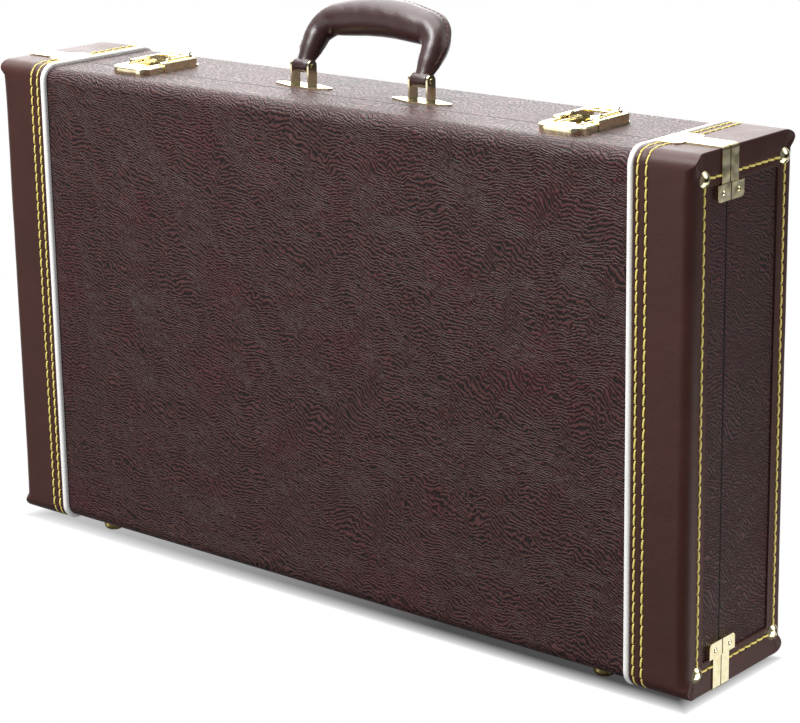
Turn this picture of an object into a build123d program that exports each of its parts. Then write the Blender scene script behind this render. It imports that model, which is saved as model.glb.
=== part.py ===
from build123d import *

import os
from collections import namedtuple
from math import cos, radians, sin

os.makedirs("parts", exist_ok=True)

# Carrying case for a chorded zither, standing on its feet. X runs along the length, Y from the lid (-Y)
# to the base (+Y), Z up. The origin is on the floor under the middle of the case. All in millimetres.

# Overall size, measured over the end caps
length = 635
depth = 118
height = 363
lid_depth = 40.5
foot_drop = 6

# Shell: plywood boards under a textured covering, with a plush lining
cover_thickness = 0.8
board_thickness = 6
lining_thickness = 2
edge_radius = 10
seam_gap = 0.4
pad_thickness = 10
pad_margin = 4
pad_radius = 4

# End caps of smooth vinyl, and the white piping along them
cap_thickness = 2.2
cap_end_thickness = 1.5
cap_band = 45
cap_border = 20
cap_border_top = 23
cap_radius = 10.5
piping_width = 4.4
piping_height = 3.2
piping_rounding = 1.9

# Fasteners: their shanks stop short of the inner face of the boards
nail_head_radius = 5.75
nail_head_height = 3
nail_shank_radius = 1
nail_from_edge = 12.5
nail_from_top = 17
rivet_head_radius = 2
rivet_head_height = 1.1
rivet_shank_radius = 1
small_rivet_head_radius = 1.6
small_rivet_head_height = 0.8
small_rivet_shank_radius = 0.9
shank_stop = 0.6

# Feet
foot_radius = 8
foot_rounding = 4
foot_shank_radius = 1.5
foot_from_end = 79.5
foot_from_face = 22

# Edge clips over the seam at both ends, a half on each side
sheet = 1
clip_gap = 1
strap_half_width = 9.5
strap_bend = 2.5
clip_inset = 0.5
clip_head_half_width = 16
clip_head_length = 17
clip_head_radius = 4
clip_head_rivet = 10.4
clip_head_rivet_inset = 3.5
clip_foot_half_width = 15
clip_foot_height = 11
clip_foot_stand = 1.8
clip_foot_radius = 3
clip_foot_rivet = 8.6

# Hinges under the seam
hinge_from_end = 147.5
hinge_length = 50
hinge_leaf_width = 16
hinge_leaf_gap = 0.6
hinge_clearance = 0.1
knuckle_radius = 2.2
knuckle_count = 5
knuckle_gap = 0.3
hinge_pin_radius = 1
pin_clearance = 0.05
hinge_rivet_inset = 7
hinge_rivet_from_edge = 5

# Latches: a catch on the lid, and a lever with its bail on a plate on the base
latch_from_end = 119
latch_width = 37
latch_gap = 0.5
latch_corner = 9
latch_rounding = 1.2
catch_length = 20.5
catch_height = 5
pocket_half_width = 13
pocket_clearance = 1
lever_plate_length = 41
rail_height = 7
rail_length = 34
lever_pivot_behind_seam = 12
lever_pivot_height = 5.5
lever_stub_radius = 1.2
lever_head_radius = 3.2
lever_half_width = 12.1
lever_sheet = 1.2
lever_rise = 2.5
lever_length = 24
lever_throat = 5
window_width = 6
window_length = 6
window_x = 5
finger_tab_length = 5
finger_tab_half_width = 8
finger_tab_angle = 35
bail_wire = 1
bail_half_width = 9
bail_behind_pivot = 7.86
bail_below_pivot = 1.5
bail_length = 29
bail_corner = 2.5
bail_turn = 1.6
bail_clearance = 0.1
bail_end_gap = 0.2
hook_half_width = 4.5
hook_thickness = 3
hook_gap = 0.3
hook_rise = 0.9
latch_rivet_x = 4.5
catch_rivet_behind = 2.1
plate_rivet_behind = 3
plate_rivet_spacing = 11

# Handle: a leather grip on two brackets, leaning back as it stands by itself
handle_y = -1.7
handle_lean = 38
bracket_x = 55
bracket_length = 52
bracket_width = 15
bracket_waist = 18
bracket_tip = 4
bracket_rounding = 1.8
bracket_screw_x = 19
pivot_height = 15.2
ear_spacing = 14.6
ear_thickness = 1.5
ear_width = 9
handle_pin_radius = 1.6
handle_pin_overhang = 0.8
loop_radius = 5.2
loop_clearance = 0.3
grip_corner_x = 54.5
grip_corner_height = 37.8
grip_peak_height = 46.6
grip_corner_radius = 17.4
grip_arch_radius = 150
leg_radius = 8
leg_root_height = 2.5
leg_root_thickness = 3.9
leg_root_half_width = 6.5
leg_neck_height = 7
leg_neck_thickness = 5.4
leg_neck_half_width = 6.8
leg_straight_height = 16
grip_radius = 14
grip_section_count = 6

# Derived places
middle_z = foot_drop + height / 2
shell_x = length / 2 - cap_end_thickness
shell_y = depth / 2 - cap_thickness
shell_z = height / 2 - cap_thickness
shell_top = middle_z + shell_z
shell_bottom = middle_z - shell_z
seam_y = lid_depth - depth / 2
board_inset = cover_thickness + board_thickness
lining_inset = board_inset + lining_thickness
into_board = board_inset - shank_stop
hinge_z = foot_drop - sheet - hinge_clearance
hinge_x = length / 2 - hinge_from_end
hinge_positions = {"left": -hinge_x, "middle": 0, "right": hinge_x}
latch_x = length / 2 - latch_from_end
foot_x = length / 2 - foot_from_end
foot_y = depth / 2 - foot_from_face

Half = namedtuple("Half", "name side rim")
base = Half("base", 1, seam_y + seam_gap / 2)
lid = Half("lid", -1, seam_y - seam_gap / 2)
halves = (base, lid)
ends = {"left": -1, "right": 1}

catch_back = lid.rim - latch_gap
plate_front = base.rim + latch_gap
lever_y = seam_y + lever_pivot_behind_seam
lever_z = shell_top + lever_pivot_height
bail_y = lever_y + bail_behind_pivot
bail_z = lever_z - bail_below_pivot
bar_y = bail_y - bail_length
handle_z = shell_top + pivot_height

Fastener = namedtuple("Fastener", "head_radius head_height shank_radius")
dome_nail = Fastener(nail_head_radius, nail_head_height, nail_shank_radius)
rivet = Fastener(rivet_head_radius, rivet_head_height, rivet_shank_radius)
small_rivet = Fastener(small_rivet_head_radius, small_rivet_head_height, small_rivet_shank_radius)


def save(piece, name):
    """Labels a finished piece and writes it to its own file."""
    piece.part.label = name
    export_step(piece.part, f"parts/{name}.step")


def slab(corner, opposite, mode=Mode.ADD):
    """Block between two opposite corners."""
    centre = [(a + b) / 2 for a, b in zip(corner, opposite)]
    size = [abs(b - a) for a, b in zip(corner, opposite)]
    with Locations(tuple(centre)):
        Box(*size, mode=mode)


def half_block(half, half_length, half_height, face, radius=0):
    """Block of one half from its rim to its outer face, whose four edges can be rounded."""
    with BuildPart() as block:
        with BuildSketch(Plane.XZ.offset(-half.rim)):
            with Locations((0, middle_z)):
                Rectangle(2 * half_length, 2 * half_height)
        extrude(amount=half.rim - half.side * face)
        if radius:
            outward = Axis((0, 0, 0), (0, half.side, 0))
            fillet(block.faces().sort_by(outward)[-1].edges(), radius)
    return block.part


def shell_block(half, inset, radius=0):
    """Block of one half, smaller than the covered shell by inset on every side."""
    return half_block(half, shell_x - inset, shell_z - inset, shell_y - inset, radius)


# Rows of fasteners on each half: the seats are planes that look out of the surface
Row = namedtuple("Row", "seats kind depth")


def nail_row(half):
    """Corners of the end faces."""
    y = half.side * (depth / 2 - nail_from_edge)
    rise = height / 2 - nail_from_top
    seats = [
        Plane(origin=(end * length / 2, y, middle_z + side * rise), z_dir=(end, 0, 0))
        for end in ends.values()
        for side in (1, -1)
    ]
    return Row(seats, dome_nail, cap_end_thickness + into_board)


def clip_head_row(half):
    """One rivet in the wide end of each clip, on the top and bottom faces."""
    x = length / 2 - cap_band + clip_inset + clip_head_rivet_inset
    y = seam_y + half.side * clip_head_rivet
    rise = height / 2 + sheet
    seats = [
        Plane(origin=(end * x, y, middle_z + side * rise), z_dir=(0, 0, side))
        for end in ends.values()
        for side in (1, -1)
    ]
    return Row(seats, rivet, sheet + cap_thickness + into_board)


def clip_foot_row(half):
    """One rivet in the foot of each clip, on the end faces."""
    x = length / 2 + clip_foot_stand
    y = seam_y + half.side * clip_foot_rivet
    rise = height / 2 - cap_border_top - clip_foot_height / 2
    seats = [
        Plane(origin=(end * x, y, middle_z + side * rise), z_dir=(end, 0, 0))
        for end in ends.values()
        for side in (1, -1)
    ]
    return Row(seats, rivet, clip_foot_stand + cap_end_thickness + into_board)


def hinge_row(half):
    """Three rivets through each hinge leaf."""
    y = seam_y + half.side * (hinge_leaf_width - hinge_rivet_from_edge)
    reach = hinge_length / 2 - hinge_rivet_inset
    seats = [
        Plane(origin=(x + step, y, shell_bottom - sheet), z_dir=(0, 0, -1))
        for x in hinge_positions.values()
        for step in (-reach, 0, reach)
    ]
    return Row(seats, small_rivet, sheet + into_board)


def latch_row(half):
    """Rivets of the catches on the lid, or of the lever plates on the base."""
    if half is lid:
        rows = (catch_back - catch_rivet_behind,)
    else:
        rows = (plate_front + plate_rivet_behind, plate_front + plate_rivet_behind + plate_rivet_spacing)
    seats = [
        Plane(origin=(end * latch_x + step, y, shell_top + sheet), z_dir=(0, 0, 1))
        for end in ends.values()
        for y in rows
        for step in (-latch_rivet_x, latch_rivet_x)
    ]
    return Row(seats, small_rivet, sheet + into_board)


def foot_row(half):
    """Two feet under each half."""
    seats = [
        Plane(origin=(end * foot_x, half.side * foot_y, shell_bottom), z_dir=(0, 0, -1))
        for end in ends.values()
    ]
    return Row(seats, Fastener(foot_radius, shell_bottom, foot_shank_radius), into_board)


def bracket_row():
    """Two screws in each handle bracket."""
    seats = [
        Plane(origin=(end * bracket_x + step, handle_y, shell_top + sheet), z_dir=(0, 0, 1))
        for end in ends.values()
        for step in (-bracket_screw_x, bracket_screw_x)
    ]
    return Row(seats, rivet, sheet + into_board)


def fastener_rows(half):
    """All the rows of one half, by the name of the node that they make."""
    rows = {
        "dome_nails": [nail_row(half)],
        "clip_rivets": [clip_head_row(half), clip_foot_row(half)],
        "hinge_rivets": [hinge_row(half)],
        "latch_rivets": [latch_row(half)],
        "feet": [foot_row(half)],
    }
    if half is base:
        rows["handle_screws"] = [bracket_row()]
    return rows


def drill(row):
    """Holes for the shanks of a row, through whatever is being made."""
    with Locations(*row.seats):
        Cylinder(row.kind.shank_radius, 2 * row.depth, mode=Mode.SUBTRACT)


def drill_all(half):
    """Every shank hole of one half."""
    for rows in fastener_rows(half).values():
        for row in rows:
            drill(row)


def fastener(row):
    """Domed head on the XY plane with its shank below."""
    kind = row.kind
    dome_radius = (kind.head_radius**2 + kind.head_height**2) / (2 * kind.head_height)
    with BuildPart() as piece:
        with Locations((0, 0, kind.head_height - dome_radius)):
            Sphere(dome_radius)
        split(bisect_by=Plane.XY)
        Cylinder(kind.shank_radius, row.depth, align=(Align.CENTER, Align.CENTER, Align.MAX))
    return piece.part


def foot(row):
    """Rounded foot with a flat to stand on, drawn upside down, with its shank below."""
    kind = row.kind
    with BuildPart() as piece:
        Cylinder(kind.head_radius, kind.head_height, align=(Align.CENTER, Align.CENTER, Align.MIN))
        fillet(piece.edges().sort_by(Axis.Z)[-1], foot_rounding)
        Cylinder(kind.shank_radius, row.depth, align=(Align.CENTER, Align.CENTER, Align.MAX))
    return piece.part


for half in halves:
    for name, rows in fastener_rows(half).items():
        with BuildPart() as fasteners:
            for row in rows:
                single = foot(row) if name == "feet" else fastener(row)
                with Locations(*row.seats):
                    add(single)
        save(fasteners, f"{half.name}_{name}")


# Boards of each half: the broad face lies on four walls
long_x = shell_x - cover_thickness
short_x = long_x - board_thickness
tall_z = shell_z - cover_thickness
short_z = tall_z - board_thickness

for half in halves:
    board_shape = shell_block(half, cover_thickness, edge_radius - cover_thickness)
    face = half.side * (shell_y - cover_thickness)
    floor = half.side * (shell_y - board_inset)
    regions = {
        "face_board": ((-long_x, floor, middle_z - tall_z), (long_x, face, middle_z + tall_z)),
        "top_wall": ((-long_x, half.rim, middle_z + short_z), (long_x, floor, middle_z + tall_z)),
        "bottom_wall": ((-long_x, half.rim, middle_z - tall_z), (long_x, floor, middle_z - short_z)),
        "left_wall": ((-long_x, half.rim, middle_z - short_z), (-short_x, floor, middle_z + short_z)),
        "right_wall": ((short_x, half.rim, middle_z - short_z), (long_x, floor, middle_z + short_z)),
    }
    for name, (corner, opposite) in regions.items():
        with BuildPart() as board:
            add(board_shape)
            slab(corner, opposite, mode=Mode.INTERSECT)
            drill_all(half)
        save(board, f"{half.name}_{name}")

    # Textured covering, drawn over the boards
    with BuildPart() as covering:
        add(shell_block(half, 0, edge_radius))
        add(board_shape, mode=Mode.SUBTRACT)
        drill_all(half)
    save(covering, f"{half.name}_covering")

    # Plush lining of the walls
    with BuildPart() as lining:
        add(shell_block(half, board_inset))
        add(shell_block(half, lining_inset), mode=Mode.SUBTRACT)
    save(lining, f"{half.name}_lining")

    # Padded panel inside the broad face
    pad_back = half.side * (shell_y - lining_inset)
    pad_front = half.side * (shell_y - lining_inset - pad_thickness)
    pad_x = shell_x - lining_inset - pad_margin
    pad_z = shell_z - lining_inset - pad_margin
    with BuildPart() as pad:
        slab((-pad_x, pad_back, middle_z - pad_z), (pad_x, pad_front, middle_z + pad_z))
        inward = Axis((0, 0, 0), (0, -half.side, 0))
        fillet(pad.faces().sort_by(inward)[-1].edges(), pad_radius)
    save(pad, f"{half.name}_pad")

# End caps: a band round the end of the case and a border round its end face
cap_x = length / 2 - cap_band
window_z = height / 2 - cap_border_top

for half in halves:
    whole_case = half_block(half, length / 2, height / 2, depth / 2, cap_radius)
    covered_shell = shell_block(half, 0, edge_radius)
    window_y = half.side * (depth / 2 - cap_border)
    for end_name, end in ends.items():
        with BuildPart() as cap:
            add(whole_case)
            slab(
                (end * cap_x, half.rim, foot_drop),
                (end * length / 2, half.side * depth / 2, foot_drop + height),
                mode=Mode.INTERSECT,
            )
            add(covered_shell, mode=Mode.SUBTRACT)
            slab(
                (end * shell_x, half.rim, middle_z - window_z),
                (end * length / 2, window_y, middle_z + window_z),
                mode=Mode.SUBTRACT,
            )
            drill_all(half)
        save(cap, f"{half.name}_cap_{end_name}")

        # White piping against the edge of the cap, over three faces of its half
        x = end * (cap_x - piping_width / 2)
        start = (x, half.rim, shell_bottom)
        with BuildLine() as route:
            FilletPolyline(
                start,
                (x, half.side * shell_y, shell_bottom),
                (x, half.side * shell_y, shell_top),
                (x, half.rim, shell_top),
                radius=edge_radius,
            )
        with BuildPart() as piping:
            with BuildSketch(Plane(origin=start, x_dir=(half.side, 0, 0), z_dir=(0, half.side, 0))) as section:
                Rectangle(piping_width, piping_height, align=(Align.CENTER, Align.MIN))
                fillet(section.vertices().group_by(Axis.Y)[-1], piping_rounding)
            sweep(path=route.wire())
        save(piping, f"{half.name}_piping_{end_name}")

# Edge clips: a strap bent over the edge, with a wide head inside and a thick foot on the end face
clip_x = cap_x + clip_inset
foot_top = middle_z + window_z
foot_bottom = foot_top - clip_foot_height
strap_x = length / 2 + sheet
strap_z = middle_z + height / 2 + sheet

for half in halves:
    near = seam_y + half.side * clip_gap / 2
    strap_y = seam_y + half.side * strap_half_width
    head_y = seam_y + half.side * clip_head_half_width
    foot_far_y = seam_y + half.side * clip_foot_half_width
    outside = Axis((0, 0, 0), (0, half.side, 0))
    with BuildPart() as strap:
        with BuildSketch(Plane.XZ.offset(-near)) as profile:
            with Locations((strap_x, strap_z)):
                Rectangle(
                    strap_x - clip_x, strap_z - foot_bottom, align=(Align.MAX, Align.MAX)
                )
            fillet(profile.vertices().sort_by(Axis.X)[-2:].sort_by(Axis.Y)[-1], strap_bend)
            with Locations((length / 2, strap_z - sheet)):
                Rectangle(
                    strap_x - clip_x, strap_z - foot_bottom, align=(Align.MAX, Align.MAX), mode=Mode.SUBTRACT
                )
        extrude(amount=near - strap_y)
    with BuildPart() as head:
        slab((clip_x, near, strap_z - sheet), (clip_x + clip_head_length, head_y, strap_z))
        fillet(head.edges().filter_by(Axis.Z).group_by(outside)[-1], clip_head_radius)
    with BuildPart() as clip_foot:
        slab((shell_x, near, foot_bottom), (length / 2 + clip_foot_stand, foot_far_y, foot_top))
        lower = clip_foot.edges().filter_by(Axis.X).group_by(Axis.Z)[0]
        fillet(lower.sort_by(outside)[-1], clip_foot_radius)
    with BuildPart() as clip:
        add(strap.part)
        add(head.part)
        add(clip_foot.part)
    for end_name, end in ends.items():
        with BuildPart() as clips:
            add(clip.part if end > 0 else clip.part.mirror(Plane.YZ))
            mirror(about=Plane.XY.offset(middle_z))
            drill_all(half)
        save(clips, f"{half.name}_clips_{end_name}")

# Hinges: two leaves with interleaved knuckles on one pin
knuckle_length = (hinge_length - (knuckle_count - 1) * knuckle_gap) / knuckle_count

for name, x in hinge_positions.items():
    for half in halves:
        inner = seam_y + half.side * hinge_leaf_gap
        outer = seam_y + half.side * hinge_leaf_width
        first = 0 if half is base else 1
        with BuildPart() as leaf:
            slab(
                (x - hinge_length / 2, inner, shell_bottom - sheet),
                (x + hinge_length / 2, outer, shell_bottom),
            )
            for index in range(first, knuckle_count, 2):
                start_x = x - hinge_length / 2 + index * (knuckle_length + knuckle_gap)
                neck = seam_y + half.side * knuckle_radius
                slab((start_x, inner, hinge_z), (start_x + knuckle_length, neck, shell_bottom))
                with Locations(Plane(origin=(start_x, seam_y, hinge_z), z_dir=(1, 0, 0))):
                    Cylinder(
                        knuckle_radius, knuckle_length, align=(Align.CENTER, Align.CENTER, Align.MIN)
                    )
            with Locations(Plane(origin=(x, seam_y, hinge_z), z_dir=(1, 0, 0))):
                Cylinder(hinge_pin_radius + pin_clearance, 2 * hinge_length, mode=Mode.SUBTRACT)
            drill_all(half)
        save(leaf, f"hinge_{name}_{half.name}_leaf")

with BuildPart() as hinge_pins:
    with Locations(*[Plane(origin=(x, seam_y, hinge_z), z_dir=(1, 0, 0)) for x in hinge_positions.values()]):
        Cylinder(hinge_pin_radius, hinge_length)
save(hinge_pins, "hinge_pins")

# Latches
rail_inner = pocket_half_width
rail_outer = latch_width / 2
stub_inner = lever_half_width - lever_sheet

for end_name, end in ends.items():
    x = end * latch_x

    # Catch on the lid: a raised plate with a pocket where the bail drops over a hook
    with BuildPart() as catch:
        with BuildSketch(Plane.XY.offset(shell_top)) as outline:
            with Locations((x, catch_back)):
                Rectangle(latch_width, catch_length, align=(Align.CENTER, Align.MAX))
            fillet(outline.vertices().group_by(Axis.Y)[0], latch_corner)
        extrude(amount=catch_height)
        fillet(catch.faces().sort_by(Axis.Z)[-1].edges(), latch_rounding)
        slab(
            (x - pocket_half_width, bar_y - bail_wire - pocket_clearance, shell_top + sheet),
            (x + pocket_half_width, lid.rim, shell_top + 2 * catch_height),
            mode=Mode.SUBTRACT,
        )
        hook_front = bar_y + bail_wire + hook_gap
        slab(
            (x - hook_half_width, hook_front, shell_top),
            (x + hook_half_width, hook_front + hook_thickness, bail_z + hook_rise),
        )
        drill_all(lid)
    save(catch, f"latch_{end_name}_catch")

    # Plate on the base, with a rail on each side of the lever
    with BuildPart() as lever_plate:
        with BuildSketch(Plane.XY.offset(shell_top)) as outline:
            with Locations((x, plate_front)):
                Rectangle(latch_width, lever_plate_length, align=(Align.CENTER, Align.MIN))
            fillet(outline.vertices().group_by(Axis.Y)[-1], latch_corner)
        extrude(amount=sheet)
        for side in (-1, 1):
            slab(
                (x + side * rail_inner, plate_front, shell_top),
                (x + side * rail_outer, plate_front + rail_length, shell_top + rail_height),
            )
        rail_tops = lever_plate.faces().filter_by(Axis.Z).group_by(Axis.Z)[-1]
        fillet(rail_tops.edges(), latch_rounding)
        with Locations(Plane(origin=(x, lever_y, lever_z), z_dir=(1, 0, 0))):
            Cylinder(lever_stub_radius, latch_width, mode=Mode.SUBTRACT)
        drill_all(base)
    save(lever_plate, f"latch_{end_name}_lever_plate")

    # Lever: two cheeks under a top with two windows, which ends in a finger tab
    top_start = bail_y + lever_throat
    top_end = lever_y + lever_length
    top_z = lever_z + lever_rise
    with BuildPart() as lever:
        for side in (-1, 1):
            with BuildSketch(Plane.YZ.offset(x + side * stub_inner)):
                with Locations((lever_y, lever_z)):
                    Circle(lever_head_radius)
                with Locations((lever_y, lever_z - lever_head_radius)):
                    Rectangle(lever_length, lever_head_radius + lever_rise, align=(Align.MIN, Align.MIN))
                with Locations((lever_y, lever_z)):
                    Circle(lever_stub_radius + pin_clearance, mode=Mode.SUBTRACT)
                with Locations((bail_y, bail_z)):
                    Circle(bail_wire + bail_clearance, mode=Mode.SUBTRACT)
            extrude(amount=side * lever_sheet)
        slab(
            (x - lever_half_width, top_start, top_z - lever_sheet),
            (x + lever_half_width, top_end, top_z),
        )
        for side in (-1, 1):
            with Locations((x + side * window_x, top_start + window_length, top_z)):
                Box(window_width, window_length, 2 * lever_sheet, mode=Mode.SUBTRACT)
        tab_plane = Plane(
            origin=(x, top_end, top_z),
            x_dir=(1, 0, 0),
            z_dir=(0, -sin(radians(finger_tab_angle)), cos(radians(finger_tab_angle))),
        )
        with BuildSketch(tab_plane) as tab:
            with Locations((0, -lever_sheet)):
                Rectangle(
                    2 * finger_tab_half_width, finger_tab_length + lever_sheet, align=(Align.CENTER, Align.MIN)
                )
            fillet(tab.vertices().group_by(Axis.Y)[-1], finger_tab_length / 2)
        extrude(amount=-lever_sheet)
    save(lever, f"latch_{end_name}_lever")

    # Bail: one bent wire whose ends turn out into the cheeks
    end_x = lever_half_width - bail_end_gap
    start = (x - end_x, bail_y, bail_z)
    with BuildLine() as route:
        FilletPolyline(
            start,
            (x - bail_half_width, bail_y, bail_z),
            (x - bail_half_width, bar_y, bail_z),
            (x + bail_half_width, bar_y, bail_z),
            (x + bail_half_width, bail_y, bail_z),
            (x + end_x, bail_y, bail_z),
            radius=(bail_turn, bail_corner, bail_corner, bail_turn),
        )
    with BuildPart() as bail:
        with BuildSketch(Plane(origin=start, z_dir=(1, 0, 0))):
            Circle(bail_wire)
        sweep(path=route.wire())
    save(bail, f"latch_{end_name}_bail")

# Stub pins of the levers, riveted in the rails
stub_length = rail_outer - stub_inner
with BuildPart() as lever_pins:
    for end in ends.values():
        for side in (-1, 1):
            origin = (end * latch_x + side * stub_inner, lever_y, lever_z)
            with Locations(Plane(origin=origin, z_dir=(side, 0, 0))):
                Cylinder(lever_stub_radius, stub_length, align=(Align.CENTER, Align.CENTER, Align.MIN))
save(lever_pins, "latch_lever_pins")

# Handle brackets: a pointed plate with two ears
ear_centre = (ear_spacing + ear_thickness) / 2
pin_length = ear_spacing + 2 * ear_thickness + 2 * handle_pin_overhang

for end_name, end in ends.items():
    x = end * bracket_x
    with BuildPart() as bracket:
        with BuildSketch(Plane.XY.offset(shell_top)) as outline:
            with Locations((x, handle_y)):
                Rectangle(bracket_waist, bracket_width)
                Rectangle(bracket_length, bracket_tip)
            make_hull()
            fillet(outline.vertices(), bracket_rounding)
        extrude(amount=sheet)
        for side in (-1, 1):
            with BuildSketch(Plane.YZ.offset(x + side * ear_spacing / 2)):
                with Locations((handle_y, handle_z)):
                    Circle(ear_width / 2)
                with Locations((handle_y, shell_top)):
                    Rectangle(ear_width, pivot_height, align=(Align.CENTER, Align.MIN))
            extrude(amount=side * ear_thickness)
        with Locations(Plane(origin=(x, handle_y, handle_z), z_dir=(1, 0, 0))):
            Cylinder(handle_pin_radius, pin_length, mode=Mode.SUBTRACT)
        drill(bracket_row())
    save(bracket, f"handle_bracket_{end_name}")

pin_seats = [Plane(origin=(end * bracket_x, handle_y, handle_z), z_dir=(1, 0, 0)) for end in ends.values()]
with BuildPart() as handle_pins:
    with Locations(*pin_seats):
        Cylinder(handle_pin_radius, pin_length)
save(handle_pins, "handle_pins")

# Grip: a padded leather tube, thick in the middle, that ends in a loop round each pin
lean = radians(handle_lean)
across_grip = (0, -cos(lean), sin(lean))
grip_plane = Plane(origin=(0, handle_y, handle_z), x_dir=(1, 0, 0), z_dir=across_grip)

with BuildLine(grip_plane) as spine:
    FilletPolyline(
        (-bracket_x, 0),
        (-grip_corner_x, grip_corner_height),
        (0, grip_peak_height),
        (grip_corner_x, grip_corner_height),
        (bracket_x, 0),
        radius=(grip_corner_radius, grip_arch_radius, grip_corner_radius),
    )
spine_wire = spine.wire()

# Half of the sections, from the pin to the middle: height along the spine, then two radii
neck = (
    (leg_root_height, leg_root_thickness, leg_root_half_width),
    (leg_neck_height, leg_neck_thickness, leg_neck_half_width),
)
padded_length = spine_wire.length / 2 - leg_straight_height
padded = [
    leg_straight_height + padded_length * step / grip_section_count
    for step in range(grip_section_count + 1)
]


def grip_section(distance, thickness=None, half_width=None):
    """Cross-section of the grip at a distance along its spine."""
    station = distance / spine_wire.length
    place = spine_wire @ station
    with BuildSketch(Plane(origin=place, x_dir=across_grip, z_dir=spine_wire % station)) as section:
        if thickness:
            Ellipse(thickness, half_width)
        else:
            swell = max(0, 1 - (place.X / grip_corner_x) ** 2)
            Circle(leg_radius + (grip_radius - leg_radius) * swell)
    return section.sketch.face()


rising = [grip_section(*size) for size in neck] + [grip_section(distance) for distance in padded]
falling = [section.mirror(Plane.YZ) for section in reversed(rising[:-1])]

with BuildPart() as grip:
    loft(rising + falling)
    with Locations(*pin_seats):
        Cylinder(loop_radius, ear_spacing - 2 * loop_clearance)
        Cylinder(handle_pin_radius + pin_clearance, ear_spacing, mode=Mode.SUBTRACT)
save(grip, "handle_grip")
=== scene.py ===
# %% [markdown]
# # A hard case for a chorded zither
#
# The real object is a plywood case in two halves, covered in embossed vinyl. Its ends have caps of
# smooth vinyl, sewn with yellow thread and edged with white piping, and its fittings are polished
# brass. The engineering model already holds every piece at its real size and place. This lesson
# keeps that model as it is, gives each piece its finish, and rebuilds the soft pieces, which a
# solid modeller can only block out.

import math
import random

import bmesh
import bpy
from mathutils import Matrix, Vector, noise


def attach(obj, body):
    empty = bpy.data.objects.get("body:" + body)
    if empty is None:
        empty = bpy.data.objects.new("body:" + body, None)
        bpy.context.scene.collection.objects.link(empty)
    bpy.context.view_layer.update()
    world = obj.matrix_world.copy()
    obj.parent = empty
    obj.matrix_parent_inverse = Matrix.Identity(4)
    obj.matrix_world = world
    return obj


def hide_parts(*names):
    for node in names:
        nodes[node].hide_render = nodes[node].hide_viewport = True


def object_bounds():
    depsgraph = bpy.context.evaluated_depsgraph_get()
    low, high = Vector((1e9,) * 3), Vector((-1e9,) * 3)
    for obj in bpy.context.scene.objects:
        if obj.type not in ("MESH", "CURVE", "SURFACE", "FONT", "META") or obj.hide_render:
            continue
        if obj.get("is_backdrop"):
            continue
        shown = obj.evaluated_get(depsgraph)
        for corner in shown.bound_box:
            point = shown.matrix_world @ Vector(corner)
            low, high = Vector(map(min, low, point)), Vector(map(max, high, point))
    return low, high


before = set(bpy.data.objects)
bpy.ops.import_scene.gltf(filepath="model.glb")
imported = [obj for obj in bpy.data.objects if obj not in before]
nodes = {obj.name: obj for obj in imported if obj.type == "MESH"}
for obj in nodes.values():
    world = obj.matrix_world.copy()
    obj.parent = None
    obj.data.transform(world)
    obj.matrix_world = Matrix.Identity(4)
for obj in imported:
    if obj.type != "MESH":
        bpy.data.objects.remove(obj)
cad_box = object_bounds()
mm = 0.001
print(len(nodes), "pieces loaded, from", [round(x, 4) for x in cad_box[0]])

# %% [markdown]
# ## Camera
#
# The picture was taken with a long lens, a little above the case and off to its right. The numbers
# below were fitted to the corners of the case, so that the render can be laid over the picture. A
# small shift of the lens says where the picture was cropped.

# %% Camera
picture_width, picture_height = 800, 723
azimuth, elevation, roll = math.radians(39.92), math.radians(15.56), math.radians(-0.86)
focal_pixels = 2520.3
camera_distance = 1.79849
aim = Vector((0.0438, 0, 0.1961))
centre_x, centre_y = 414.61, 336.3

back = Vector((
    math.sin(azimuth) * math.cos(elevation),
    -math.cos(azimuth) * math.cos(elevation),
    math.sin(elevation),
))
right = Vector((math.cos(azimuth), math.sin(azimuth), 0))
up = back.cross(right)
right_rolled = math.cos(roll) * right + math.sin(roll) * up
up_rolled = math.cos(roll) * up - math.sin(roll) * right

camera = bpy.data.objects.new("camera", bpy.data.cameras.new("camera"))
bpy.context.scene.collection.objects.link(camera)
bpy.context.scene.camera = camera
camera.matrix_world = (
    Matrix.Translation(aim + back * camera_distance)
    @ Matrix((right_rolled, up_rolled, back)).transposed().to_4x4()
)
camera.data.sensor_width = 36
camera.data.lens = focal_pixels * camera.data.sensor_width / picture_width
camera.data.shift_x = (picture_width / 2 - centre_x) / picture_width
camera.data.shift_y = (centre_y - picture_height / 2) / picture_width
camera.data.clip_start = 0.05
print("camera at", [round(x, 3) for x in camera.location], "lens", round(camera.data.lens, 1))

# %% [markdown]
# ## Shader maths
#
# A finish is a small tree of nodes. Written node by node, it is long and hard to read, so two small
# classes do the wiring. A `Signal` is the output of a node, and the usual signs add the Math nodes:
# `1 - mask * 0.5` works as it does on numbers. A `Tree` is the node tree of a material or of the
# world, and its `node` method makes any other kind of node.

# %% Signals and trees
class Signal:
    """The output of a node, which does maths with the usual signs."""

    def __init__(self, tree, socket):
        self.tree = tree
        self.socket = socket

    def maths(self, operation, *values):
        return self.tree.node("ShaderNodeMath", {"operation": operation}, dict(enumerate(values)))

    def __add__(self, other):
        return self.maths("ADD", self, other)

    def __sub__(self, other):
        return self.maths("SUBTRACT", self, other)

    def __rsub__(self, other):
        return self.maths("SUBTRACT", other, self)

    def __mul__(self, other):
        return self.maths("MULTIPLY", self, other)

    def __truediv__(self, other):
        return self.maths("DIVIDE", self, other)

    def __pow__(self, other):
        return self.maths("POWER", self, other)

    def __abs__(self):
        return self.maths("ABSOLUTE", self)

    __radd__ = __add__
    __rmul__ = __mul__


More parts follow.
